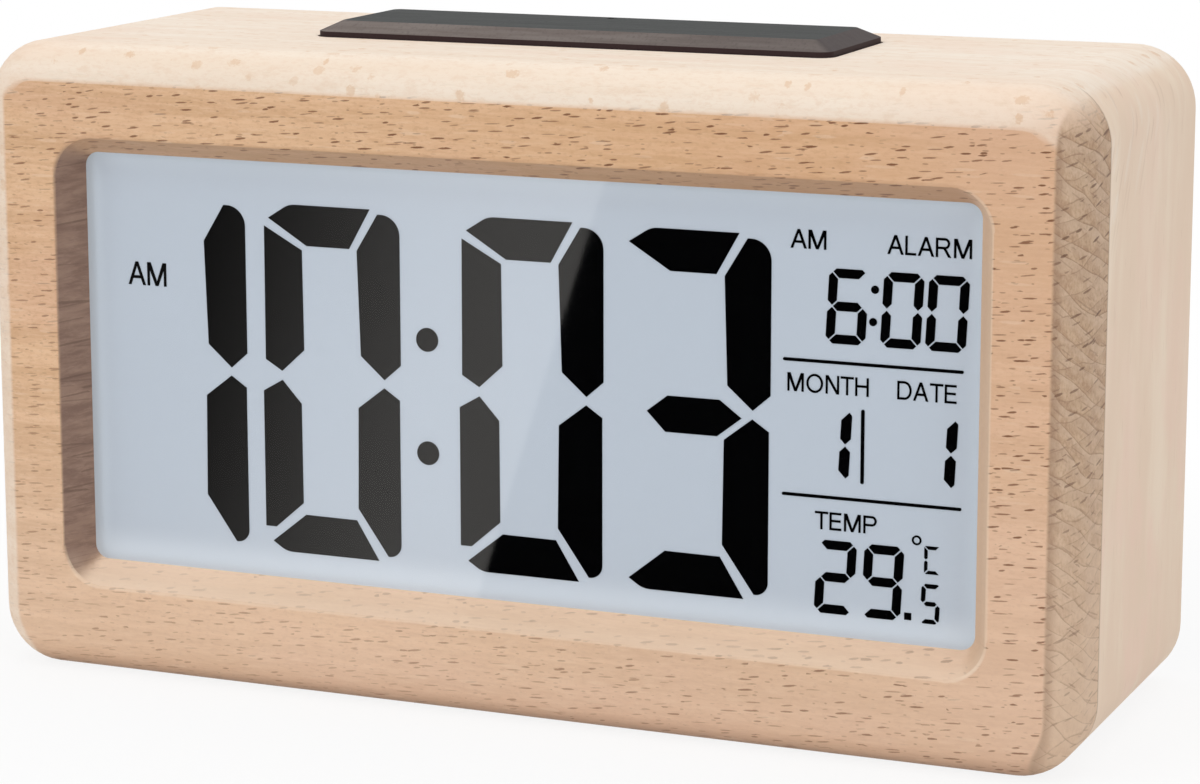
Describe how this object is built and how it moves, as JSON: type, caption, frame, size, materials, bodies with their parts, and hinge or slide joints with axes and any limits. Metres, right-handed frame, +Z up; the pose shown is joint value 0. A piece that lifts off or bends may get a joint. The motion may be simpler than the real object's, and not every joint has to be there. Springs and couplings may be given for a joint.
{
  "type": "digital desk clock",
  "caption": "Wooden-cased desk clock with a large segment display in a splayed window, a press bar on top and a recessed rear panel with keys and battery bay.",
  "frame": {"origin": "centre of the bottom of the bounding box, on the surface the clock stands on", "axes": "+X to the right seen from the front, +Y towards the back, +Z up; the display faces -Y"},
  "size_m": [0.15, 0.054, 0.0865],
  "materials": {
    "front_beech": "oiled satin",
    "case_beech": "oiled satin",
    "dowel_beech": "plain",
    "lens_acrylic": "polished",
    "display_segments": "flat black",
    "lcd_glass": "satin",
    "white_film": "matt",
    "light_guide": "clear",
    "led_strip": "gloss",
    "white_abs": "satin",
    "screw_steel": "zinc plated",
    "contact_rubber": "matt",
    "circuit_board": "solder mask",
    "black_resin": "gloss",
    "crystal_can": "polished",
    "capacitor_sleeve": "gloss",
    "bar_plastic": "satin, slightly smoky",
    "switch_plastic": "matt",
    "sensor_lens": "clear",
    "panel_abs": "fine texture",
    "switch_can": "plated",
    "key_plastic": "satin",
    "buzzer_shell": "satin",
    "cell_can": "plated sleeve",
    "contact_metal": "nickel plated",
    "ribbon_film": "satin"
  },
  "bodies": {
    "clock": {"front_frame": "front_beech", "rear_case": "case_beech", "dowels": "dowel_beech", "display_lens": "lens_acrylic", "time_digits": "display_segments", "info_digits": "display_segments", "lcd_panel": "lcd_glass", "diffuser_film": "white_film", "light_guide": "light_guide", "reflector_film": "white_film", "backlight_leds": "led_strip", "lcd_holder": "white_abs", "holder_screws": "screw_steel", "zebra_connector": "contact_rubber", "main_board": "circuit_board", "board_screws": "screw_steel", "chip_blob": "black_resin", "crystal": "crystal_can", "capacitors": "capacitor_sleeve", "thermistor": "black_resin", "snooze_bracket": "white_abs", "bracket_screws": "screw_steel", "top_board": "circuit_board", "snooze_switches": "switch_plastic", "light_sensor": "sensor_lens", "rear_panel": "panel_abs", "panel_screws": "screw_steel", "key_board": "circuit_board", "key_board_screws": "screw_steel", "key_switches": "switch_plastic", "slide_switch": "switch_can", "buzzer": "buzzer_shell", "battery_cells": "cell_can", "battery_contacts": "contact_metal", "battery_springs": "contact_metal", "key_ribbon": "ribbon_film", "top_ribbon": "ribbon_film"},
    "snooze_bar_body": {"snooze_bar": "bar_plastic"},
    "mode_key_body": {"key_mode": "key_plastic"},
    "set_key_body": {"key_set": "key_plastic"},
    "up_key_body": {"key_up": "key_plastic"},
    "down_key_body": {"key_down": "key_plastic"},
    "scale_key_body": {"key_scale": "key_plastic"},
    "alarm_slider_body": {"slide_knob": "key_plastic"},
    "battery_door_body": {"battery_door": "panel_abs"}
  },
  "joints": [
    {"name": "snooze_press", "type": "slide", "parent": "clock", "child": "snooze_bar_body", "axis": [0, 0, -1], "range_m": [0, 0.001], "stiffness_N_per_m": 1500, "springref_m": -0.0001},
    {"name": "mode_press", "type": "slide", "parent": "clock", "child": "mode_key_body", "axis": [0, -1, 0], "range_m": [0, 0.0005], "stiffness_N_per_m": 800},
    {"name": "set_press", "type": "slide", "parent": "clock", "child": "set_key_body", "axis": [0, -1, 0], "range_m": [0, 0.0005], "stiffness_N_per_m": 800},
    {"name": "up_press", "type": "slide", "parent": "clock", "child": "up_key_body", "axis": [0, -1, 0], "range_m": [0, 0.0005], "stiffness_N_per_m": 800},
    {"name": "down_press", "type": "slide", "parent": "clock", "child": "down_key_body", "axis": [0, -1, 0], "range_m": [0, 0.0005], "stiffness_N_per_m": 800},
    {"name": "scale_press", "type": "slide", "parent": "clock", "child": "scale_key_body", "axis": [0, -1, 0], "range_m": [0, 0.0005], "stiffness_N_per_m": 800},
    {"name": "alarm_slide", "type": "slide", "parent": "clock", "child": "alarm_slider_body", "axis": [1, 0, 0], "range_m": [0, 0.004]},
    {"name": "door_hinge", "type": "hinge", "parent": "clock", "child": "battery_door_body", "pos_m": [-0.03, 0.0235, 0.01035], "axis": [-1, 0, 0], "range_deg": [0, 90]}
  ]
}
